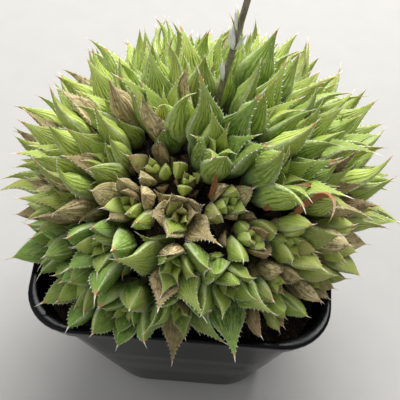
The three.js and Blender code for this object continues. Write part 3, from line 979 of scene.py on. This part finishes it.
# %% Set a pattern leaf on its arc
LEAF_OVERLAP = 1.3
TWIST = 0.22
SWAY = 0.05
RECURVE = (0.2, 1.5)
PALE_RECURVE = 1.2
RECURVE_START = 0.6
LEAST_RADIUS = 0.001
DRY_DEPTH = 0.45
DRY_ROLL = 0.55
ROLL_SPREAD = (0.3, 1)
DRY_TWIST = 2
DRY_HOOK = 0.8
HALF_DRY = 0.5
HALF_PALE = 0.5


def section_of(leaf, x, y, t, radius, look, chance):
    """How far each vertex lies across the leaf and out from its middle line."""
    half = leaf["width"] / 2
    room = np.maximum(radius, LEAST_RADIUS) * math.tan(leaf["wedge"]) * WEDGE_SHARE * LEAF_OVERLAP
    across = x * half * np.minimum(1, room / (half * share_at(t, leaf["shape"], WIDTH)))
    dryness = max(look[0] - HALF_DRY, 0) / HALF_DRY
    out = y * leaf["depth"] * (1 - (1 - DRY_DEPTH) * dryness)
    out = out - DRY_ROLL * dryness * x * x * leaf["depth"] * chance.uniform(*ROLL_SPREAD)
    twist = chance.uniform(-TWIST, TWIST) * (1 + DRY_TWIST * dryness) * t
    turn_x, turn_y = np.cos(twist), np.sin(twist)
    across, out = across * turn_x - out * turn_y, across * turn_y + out * turn_x
    across = across + chance.uniform(-SWAY, SWAY) * leaf["length"] * t * t
    hook = chance.uniform(*RECURVE) + max(look[2] - HALF_PALE, 0) * PALE_RECURVE
    hook *= (1 - DRY_HOOK * dryness) * leaf["length"]
    return across, out + hook * np.maximum(t - RECURVE_START, 0) ** 2


def grow(pattern, leaf, look, chance):
    """A copy of the pattern bent to a leaf's arc. look is how dry, tinted, pale, blue and glassy it is;
    how pale is partly painted light.
    """
    copy = copy_of(pattern, "leaf")
    count = len(copy.data.vertices)
    places = np.empty(count * 3)
    copy.data.vertices.foreach_get("co", places)
    x, y, t = places.reshape(-1, 3).T
    start, bend = math.radians(leaf["lean"]), math.radians(leaf["tip_lean"] - leaf["lean"])
    chord = leaf["length"] * t * np.sinc(bend * t / math.tau)
    middle = start + bend * t / 2
    ahead, aside = chord * np.cos(middle), chord * np.sin(middle)
    across, out = section_of(leaf, x, y, t, leaf["root_radius"] + aside, look, chance)
    angle = start + bend * t
    back = np.outer(np.cos(angle), leaf["away"]) - np.outer(np.sin(angle), leaf["axis"])
    centre = np.outer(ahead, leaf["axis"]) + np.outer(aside, leaf["away"])
    made = leaf["root"] + centre + np.outer(across, leaf["side"]) + back * out[:, None]
    copy.data.vertices.foreach_set("co", made.ravel())
    set_look(copy, "look", [look[:3]] * count)
    set_look(copy, "shade", [(look[3], chance.random(), look[4])] * count)
    return copy


# %% [markdown]
# Every leaf grows from a short stem that widens into a heart. It hardly shows, but it closes the rosette
# from below, where the clump hangs over the rim. A plain cylinder would leave a gap under the leaves,
# so a few rings with radii of their own follow the heart's outline.

# %% The stem under a rosette
STEM_SIDES = 8
STEM_OUTLINE = [  # height and radius
    (-STEM_DEPTH, 0.0021), (-0.005, 0.0022), (-0.002, 0.0034), (0.001, 0.003), (0.0024, 0.0012)]
STEM_PLACE = (0.0, 0.05, 0.5)
STEM_LOOK = (0.6, 0.5, 0.2)
STEM_SHADE = (0.0, 0.5, 0.5)


def stem_of(plant, size):
    """A stem at its rosette's place, drawn out of a circle."""
    stem = filled_ring("stem", STEM_SIDES, STEM_OUTLINE[0][1])
    for (low, low_radius), (high, radius) in zip(STEM_OUTLINE, STEM_OUTLINE[1:]):
        drawn_up(high - low)
        scale = radius / low_radius
        bpy.ops.transform.resize(value=(scale, scale, 1))
    turned_out()
    bpy.ops.object.shade_smooth()
    turn = Vector(plant["outward"]).to_track_quat("Z", "Y").to_matrix().to_4x4()
    root = Matrix.Translation((0, 0, STEM_OUTLINE[0][0]))
    crown = Matrix.Translation(Vector(plant["crown"]))
    stem.data.transform(crown @ turn @ Matrix.Scale(size, 4) @ root)
    count = len(stem.data.vertices)
    for name, value in (("on_leaf", STEM_PLACE), ("look", STEM_LOOK), ("shade", STEM_SHADE)):
        set_look(stem, name, [value] * count)
    return stem


# %% [markdown]
# In the clump no two rosettes look alike: some are fresh, others half dried out, and the leaves
# of one rosette differ too. So each leaf draws its own dryness, tint, pallor and blueness around those
# of its rosette, from a generator seeded with the rosette's number. That makes every run the same.
# The pallor is partly painted light: it is highest on the lit back and sides of the clump.

# %% Grow the rosettes
DRY_SPREAD = (0.5, 0.95)
FRESH_SPREAD = (0, 0.28)
DRY_NEIGHBOURS = 0.25
PALLOR_AND_LIGHT_SPREAD = 0.16
BLUE_SPREAD = (0.2, 1.4)
GLASS = {"plump": 0.35, "bud": 0.3, "open": 0.7, "long": 1.0, "tuft": 0.9}


def rosette_leaves(index):
    """The leaves and stem of one rosette as separate copies."""
    _, _, form, (outer_count, inner_count), size, dry, pale, blue = ROSETTES[index]
    plant = PLANTS[index]
    fences = fences_of(plant, [*PLANTS, STALK_STAND])
    draw = make_draw(FIRST_SEED + SEED_STEP * index)
    draw()  # the first number hardly differs from one seed to the next
    phase = draw() * math.tau
    chance = random.Random(index)
    counts = {"outer": outer_count, "inner": inner_count, "heart": HEART_COUNT, "skirt": SKIRT_COUNT}
    whorls = {}
    for name, count in counts.items():
        if count:
            turn = phase + WHORLS[name]["turn"]
            whorls[name] = whorl_of(plant, form, size, WHORLS[name], count, turn, draw, fences)
    copies = [stem_of(plant, size)]
    for name, leaves in whorls.items():
        whorl = WHORLS[name]
        for leaf in leaves:
            is_dry = chance.random() < whorl["always_dry"] + dry * whorl["dry"]
            fresh = 0 if is_dry else DRY_NEIGHBOURS * dry
            dryness = chance.uniform(*(DRY_SPREAD if is_dry else FRESH_SPREAD)) + fresh
            # partly painted light: besides the leaves' own pallor, this makes rosettes on the lit back and
            # sides lighter
            pallor_and_light = pale + whorl["pale"] + chance.uniform(-PALLOR_AND_LIGHT_SPREAD, PALLOR_AND_LIGHT_SPREAD)
            look = (dryness, chance.random(), pallor_and_light, blue * chance.uniform(*BLUE_SPREAD), GLASS[form])
            copies.append(grow(patterns[leaf["shape"]], leaf, look, chance))
    return copies


rosettes = []
for index in range(len(ROSETTES)):
    rosette = joined(rosette_leaves(index), f"rosette_leaves_{index + 1:02d}")
    handed_over(rosette, "leaf", f"rosette_{index + 1:02d}")
    rosettes.append(rosette)
print("rosettes:", len(rosettes), "with", sum(len(r.data.polygons) for r in rosettes), "faces")

# %% [markdown]
# The lower part of a living leaf is dull: a pale, powdery green on some, waxy and bluish on others.
# Its foot, deep in the rosette, is darkened as painted shade.
# Towards the tip the green grows clear and saturated, and the skin turns glassy between dark
# lengthwise lines, which crowd together as the leaf narrows. The glassy parts are lightened
# as a painted glow of light through them. Margins and keel are pale, and lighter still as a painted
# highlight along their translucent edges. The bristle is rust-coloured with a white end.
# A dry leaf is tan with the same lines in it.
# One picture for all leaves would repeat, so one finish is laid up in coats instead,
# and each leaf's own numbers say how dry, tinted, pale, blue and glassy it is.
# How pale is partly painted light: leaves on the lit back and sides of the clump are made paler and
# lighter.

# %% Colours of the leaves
DEEP_BASE = colour(36, 72, 18)
# The pale colours are partly painted light: they are raised for the leaves on the lit side of the clump.
POWDERY_AND_LIT_BASE = colour(188, 200, 116)
WAXY_BLUE = colour(86, 136, 102)
DEEP_MIDDLE = colour(50, 92, 22)
CLEAR_MIDDLE = colour(152, 182, 64)
PALE_AND_LIT_MIDDLE = colour(182, 198, 92)
DEEP_TIP = colour(98, 142, 40)
CLEAR_TIP = colour(178, 200, 74)
PALE_AND_LIT_TIP = colour(208, 216, 112)
YELLOWED_AND_LIT = colour(200, 212, 92)
BLOTTED = colour(192, 204, 134)
# Partly a painted glow: the clear windows are lightened as if light shone through them.
GLASSY_AND_GLOWING = colour(192, 210, 88)
LINE_GREEN = colour(56, 92, 22)
SHADE_GREEN = colour(72, 108, 50)
# Painted shade: the dark green that the foot of each leaf takes, deep in its rosette.
PAINTED_FOOT_SHADE = colour(44, 62, 24)
STREAK_PALE = colour(176, 192, 110)
# Partly a painted highlight: the pale edge colour also stands for light along the translucent margins and
# keel.
PALE_AND_HIGHLIT_EDGE = colour(206, 214, 166)
SPECK_PALE = colour(210, 216, 170)
TAN = colour(156, 130, 86)
DRY_STRAW = colour(226, 210, 162)
BARK_BROWN = colour(120, 94, 64)
LINE_BROWN = colour(96, 76, 48)
BLOT_BROWN = colour(84, 62, 42)
STALE_GREEN = colour(138, 140, 82)
FADING = colour(150, 142, 78)
RUST = colour(192, 138, 90)
BRISTLE_WHITE = colour(228, 220, 202)
TOOTH_WHITE = colour(230, 234, 210)

# %% Where each coat of the leaf lies
LINES = 8.5
LIGHT_DEPTH = (0.8, 1.0, 0.2)

leaf_skin = Finish("haworthia leaf", Subsurface_Weight=0.12, Subsurface_Scale=0.0015, IOR=1.42)
leaf_skin.plug(leaf_skin.shader, {"Subsurface Radius": LIGHT_DEPTH})
across, along, back = leaf_skin.attribute("on_leaf")
# pale is partly painted light: it is highest on the lit back and sides of the clump
dry, tint, pale = leaf_skin.attribute("look")
blue, odd, glass = leaf_skin.attribute("shade")
where = leaf_skin.place()
mottle = leaf_skin.noise(where, scale=260.0, detail=3.0)
blots = leaf_skin.noise(where, scale=620.0, detail=3.0)
grain = leaf_skin.noise(where, scale=2200.0)
fibres = leaf_skin.combined(across * 5.0, along * 1.6, tint * 37.0)
streaks = leaf_skin.noise(fibres, scale=1.6, detail=4.0)
wander = leaf_skin.noise(leaf_skin.combined(across * 1.5, along * 4.0, tint * 19.0), scale=1.3)
meshes = leaf_skin.combined(across * 9.0, along * 8.0, odd * 23.0)
cells = leaf_skin.noise(meshes, scale=1.8, detail=3.0)
lines = ((across + (wander - 0.5) * 0.22) * (math.pi * LINES)).wave().rise(-0.25, 0.8)
glassy_end = (along + (wander - 0.5) * 0.3).rise(0.22, 0.55)
window = glassy_end * (1 - along.rise(0.9, 0.99)) * glass
streak_edges = streaks.rise(0.36, 0.5) * (1 - streaks.rise(0.5, 0.6))
# Where the pale margins and keel lie; their colour is partly a painted highlight along the edges.
margin = abs(across).rise(0.86, 0.99) * along.rise(0.2, 0.45) * 0.5
keel = (1 - abs(across).rise(0.02, 0.12)) * back.rise(0.5, 0.9) * along.rise(0.45, 0.8) * 0.35
dried = dry * 1.3 + (streaks - 0.5) * 0.6 + (mottle - 0.5) * 0.6 + (along - 0.5) * 0.3
rust = (along + (odd - 0.5) * 0.04).rise(0.95, 0.99) * odd.rise(0.2, 0.6)

# %% Lay the coats of the living leaf
# The pale coats below are partly painted light, for the leaves on the lit side of the clump.
base = leaf_skin.coats(
    DEEP_BASE,
    (pale.rise(0.15, 0.5), POWDERY_AND_LIT_BASE),
    (blue * mottle.rise(0.32, 0.58), WAXY_BLUE),
)
middle = leaf_skin.mix(tint, CLEAR_MIDDLE, PALE_AND_LIT_MIDDLE)
middle = leaf_skin.mix(pale.rise(0.15, 0.5), DEEP_MIDDLE, middle)
tip = leaf_skin.mix(tint, CLEAR_TIP, PALE_AND_LIT_TIP)
tip = leaf_skin.mix(pale.rise(0.1, 0.5), DEEP_TIP, tip)
green = leaf_skin.coats(
    base,
    ((along + (mottle - 0.5) * 0.35).rise(0.26, 0.58), middle),
    ((along + (streaks - 0.5) * 0.35).rise(0.55, 0.98), tip),
    # yellowed, and partly painted light where the leaf lies on the lit side of the clump
    (pale.rise(0.3, 1.2), YELLOWED_AND_LIT),
    (blots.rise(0.47, 0.66) * (pale.rise(0.1, 0.5) * 0.2 + 0.2), BLOTTED),
    # glassy windows, lightened partly as a painted glow of light through them
    (window * cells.rise(0.46, 0.62) * 0.45, GLASSY_AND_GLOWING),
    (lines * (window * cells.rise(0.36, 0.56) * 0.7 + 0.08), LINE_GREEN),
    (streaks.rise(0.52, 0.7) * 0.25, SHADE_GREEN),
    # painted shade: the foot of each leaf is darkened where it sits deep in the rosette
    ((1 - along.rise(-0.05, 0.22)) * 0.6, PAINTED_FOOT_SHADE),
    (streak_edges * 0.3, STREAK_PALE),
    # pale margins and keel, lightened partly as a painted highlight along their translucent edges
    (margin + keel, PALE_AND_HIGHLIT_EDGE),
    (grain.rise(0.64, 0.74) * 0.35, SPECK_PALE),
)

# %% Lay the coats of the dry leaf and of the bristles and teeth
husk = leaf_skin.coats(
    TAN,
    (streaks.rise(0.3, 0.65), DRY_STRAW),
    (tint.rise(0.35, 1.0) * 0.7, BARK_BROWN),
    (lines * 0.3, LINE_BROWN),
    (blots.rise(0.5, 0.64) * 0.6, BLOT_BROWN),
    (mottle.rise(0.5, 0.66) * 0.5, STALE_GREEN),
)
skin = leaf_skin.coats(
    green,
    (dried.rise(0.3, 0.62) * 0.65, FADING),
    (dried.rise(0.58, 0.86), husk),
    (rust * 0.75, RUST),
    (along.rise(0.99, 1.03), BRISTLE_WHITE),
    (back.rise(1.5, 1.9), TOOTH_WHITE),
)
relief = streaks * 0.5 - lines * window * 0.35 + mottle * 0.4 + blots * 0.25
leaf_skin.paint(
    Base_Color=skin,
    Roughness=dried.rise(0.5, 0.9) * 0.3 + mottle * 0.2 + 0.34,
    Normal=leaf_skin.bump(relief, distance=0.0007, strength=0.6),
)
for rosette in rosettes:
    leaf_skin.put_on(rosette)

# %% [markdown]
# Old leaves that dropped off lie curled on the mat between the rosettes.
# They are the same leaf, dried: thin, rolled and brown. Places drawn at random would leave
# bare patches, so they follow a sunflower's spiral, with a little seeded jitter.

# %% Fallen leaves on the mat
FALLEN_SEED = 5
FALLEN_COUNT = 110
FALLEN_WIDEST = 74
FALLEN_SIZE = (0.021, 0.0085, 0.0032)
FALLEN_SHARES = (0.45, 0.8)
FALLEN_LEANS = ((55, 85), (70, 120))
FALLEN_DRYNESS = (0.85, 1.0)
FALLEN_LIFT = 0.0006
GOLDEN_TURN = 137.5
POLAR_JITTER = 3
AZIMUTH_JITTER = 8
ASKEW = (0.1, 0.2, 1)  # a direction that no leaf on the mat faces

fallen_chance = random.Random(FALLEN_SEED)
fallen = []
for step in range(FALLEN_COUNT):
    polar = FALLEN_WIDEST * math.sqrt((step + 0.5) / FALLEN_COUNT)
    polar += fallen_chance.uniform(-POLAR_JITTER, POLAR_JITTER)
    azimuth = step * GOLDEN_TURN + fallen_chance.uniform(-AZIMUTH_JITTER, AZIMUTH_JITTER)
    outward = standing(azimuth, max(polar, 1), 1)["outward"]
    height = dome_reach(outward, MAT_RADIUS, MAT_RISE) + FALLEN_LIFT
    root = np.array(DOME_CENTRE) + outward * height
    turn = fallen_chance.uniform(0, math.tau)
    away = turned_about(outward, unit(np.cross(ASKEW, outward)), turn)
    share = fallen_chance.uniform(*FALLEN_SHARES)
    size = [measure * share for measure in FALLEN_SIZE]
    leans = [fallen_chance.uniform(*spread) for spread in FALLEN_LEANS]
    leaf = leaf_at(root, outward, away, size, leans)
    look = (fallen_chance.uniform(*FALLEN_DRYNESS), fallen_chance.random(), 0.0, 0.0, 0.0)
    fallen.append(grow(patterns["long"], leaf, look, fallen_chance))
fallen = joined(fallen, "fallen_leaves")
litter.put_on(fallen)
handed_over(fallen, "stem_mat")

# %% [markdown]
# On the right of the gap a few withered leaves have dried to thin orange ribbons, curled over at the end.
# Their bases are between the rosettes, and the widest makes a full hook. The leaf pattern bends that far
# too, so it serves again with other leans.

# %% Curled withered leaves
CURL_SEED = 41
CURL_DEPTH = 0.0012
CURLS = [  # azimuth, polar, lift, length, width, leans at root and tip, turn about the growth direction
    (-37, 52, 0.0125, 0.026, 0.0030, (80, -95), 15),
    (-47, 45, 0.0090, 0.014, 0.0018, (15, 120), 30),
    (-22, 50, 0.0120, 0.012, 0.0016, (10, 130), 130),
    (-78, 33, 0.0080, 0.012, 0.0014, (20, 110), 60),
]

curl_chance = random.Random(CURL_SEED)
curls = []
for azimuth, polar, lift, length, width, leans, turn in CURLS:
    plant = standing(azimuth, polar, 1)
    growth = plant["growth"]
    away = turned_about(growth, unit(np.cross([0, 0, 1], growth)), math.radians(turn))
    root = plant["crown"] + growth * lift
    leaf = leaf_at(root, growth, away, (length, width, CURL_DEPTH), leans)
    look = (1.0, curl_chance.random(), 0.0, 0.0, 0.0)
    curls.append(grow(patterns["long"], leaf, look, curl_chance))
curls = joined(curls, "curled_leaves")
handed_over(curls, "leaf")

# %% [markdown]
# Withered this far, a leaf is all rusty fibre with a bleached end.
# A noise that is stretched along the leaf gives the fibres, and a coat towards the tip bleaches them.

# %% The withered leaves' finish
ribbon = Finish("withered orange leaf", Roughness=0.7)
across, along, _ = ribbon.attribute("on_leaf")
grain = ribbon.noise(ribbon.combined(across * 5.0, along * 2.0, 0.0), scale=2.0, detail=3.0)
rusty = ribbon.coats(
    colour(140, 82, 46),
    (grain.rise(0.35, 0.65), colour(186, 124, 78)),
    ((along + (grain - 0.5) * 0.6).rise(0.6, 1.0), colour(222, 188, 160)),
)
ribbon.paint(Base_Color=rusty, Normal=ribbon.bump(grain, distance=0.0004))
ribbon.put_on(curls)

# %% [markdown]
# The flower stalk is last season's: a dry, grey-brown rod that leaves the clump and leans to the right.
# A bevelled curve would need many points, each with a radius of its own, to swell at the nodes.
# So the stalk is drawn out of a circle, straight and ring by ring, and each ring is then scaled
# and set on the stalk's route, a smooth line through a few points.

# %% The flower stalk
STALK_SIDES = 14
STALK_RINGS = 60
STALK_NODES = (0.48, 0.62, 0.7, 0.86)
NODE_SWELL = 0.16
NODE_REACH = 0.012
STALK_TAPER = 0.14
ROUTE_STEP = 1e-3

stand = STALK_STAND
lean = math.radians(STALK["lean"])
rise = np.array([math.sin(lean), 0, math.cos(lean)])
turn_point = stand["crown"] + stand["outward"] * STALK["bend"]
route = [stand["crown"] - stand["outward"] * STEM_DEPTH, stand["crown"], turn_point]
route += [turn_point + rise * STALK["length"] * share for share in (1 / 3, 2 / 3, 1)]


def route_point(share):
    """A point on a smooth line through the route, and the direction there."""
    spans = len(route) - 1
    span = min(int(share * spans), spans - 1)
    a, b = route[span], route[span + 1]
    before = route[span - 1] if span else 2 * a - b
    after = route[span + 2] if span + 2 <= spans else 2 * b - a
    bends = (2 * a, b - before, 2 * before - 5 * a + 4 * b - after, 3 * a - before - 3 * b + after)

    def on_span(s):
        """A cubic through both ends of the span, which meets its neighbours without a kink."""
        return sum(bend * s**power for power, bend in enumerate(bends)) / 2

    t = share * spans - span
    return on_span(t), unit(on_span(t + ROUTE_STEP) - on_span(t - ROUTE_STEP))


stalk = filled_ring("dry_flower_stalk", STALK_SIDES, STALK["radius"])
for _ in range(STALK_RINGS):
    drawn_up(1 / STALK_RINGS)
turned_out()
smoothed(50)
for vertex in stalk.data.vertices:
    share = min(max(vertex.co.z, 0.0), 1.0)
    centre, heading = route_point(share)
    side = unit(np.cross([0, 1, 0], heading))
    swell = sum(math.exp(-(((share - node) / NODE_REACH) ** 2)) for node in STALK_NODES)
    scale = (1 + NODE_SWELL * swell) * (1 - STALK_TAPER * share)
    offset = side * vertex.co.x + np.cross(heading, side) * vertex.co.y
    vertex.co = Vector(centre + offset * scale)
handed_over(stalk, "stalk", "flower_stalk")

# %% [markdown]
# At each node sits a bract or two: papery, white scales that hug the stalk.
# They could be cut from a plane, but the leaf pattern already has their outline and point,
# so it serves again, thin and nearly straight.

# %% Papery bracts
BRACT_SEED = 21
BRACT_WIDTH = 0.0036
BRACT_DEPTH = 0.0004
BRACT_SEAT = 0.9
BRACTS = [  # number of the node, turn round the stalk in degrees, length, leans at root and tip
    (0, 205, 0.0095, (6, 2)),
    (1, 215, 0.0100, (9, 5)),
    (1, 330, 0.0080, (13, 9)),
    (2, 200, 0.0085, (13, 10)),
    (3, 340, 0.0055, (12, 6)),
]

bract_chance = random.Random(BRACT_SEED)
bracts = []
for node, turn, length, leans in BRACTS:
    centre, heading = route_point(STALK_NODES[node])
    away = turned_about(heading, unit(np.cross([0, 1, 0], heading)), math.radians(turn))
    root = centre + away * STALK["radius"] * BRACT_SEAT
    leaf = leaf_at(root, heading, away, (length, BRACT_WIDTH, BRACT_DEPTH), leans)
    look = (0.0, bract_chance.random(), 0.0, 0.0, 0.0)
    bracts.append(grow(patterns["long"], leaf, look, bract_chance))
bracts = joined(bracts, "papery_bracts")
handed_over(bracts, "stalk")

# %% [markdown]
# The dry stalk has fine fibres along it and olive blotches where it isn't quite dead.
# The fibres are one noise, squeezed along the height by a Mapping node. The bracts are thin white paper,
# so a little light passes through them, and a soft noise keeps them from looking flat.

# %% Finishes of the stalk and the bracts
straw = Finish("dry stalk", Roughness=0.75)
where = straw.place()
stretched = straw.node("Mapping", values={"Vector": where, "Scale": (1.0, 1.0, 0.06)})
fibre = straw.noise(stretched.socket, scale=2600.0, detail=3.0)
blotch = straw.noise(where, scale=240.0, detail=3.0)
bark = straw.coats(
    colour(104, 100, 80),
    (fibre.rise(0.35, 0.65), colour(150, 142, 118)),
    (blotch.rise(0.5, 0.7) * 0.6, colour(86, 88, 62)),
)
straw.paint(Base_Color=bark, Normal=straw.bump(fibre, distance=0.0003))
straw.put_on(stalk)

paper = Finish("papery bract", Roughness=0.6, Transmission_Weight=0.2)
veil = paper.noise(paper.place(), scale=900.0).rise(0.3, 0.7)
paper.paint(Base_Color=paper.mix(veil, colour(206, 208, 210), colour(240, 238, 232)))
paper.put_on(bracts)

# %% [markdown]
# The patterns have done their work and go.

# %% Clear away the patterns
for pattern in patterns.values():
    bpy.data.objects.remove(pattern)
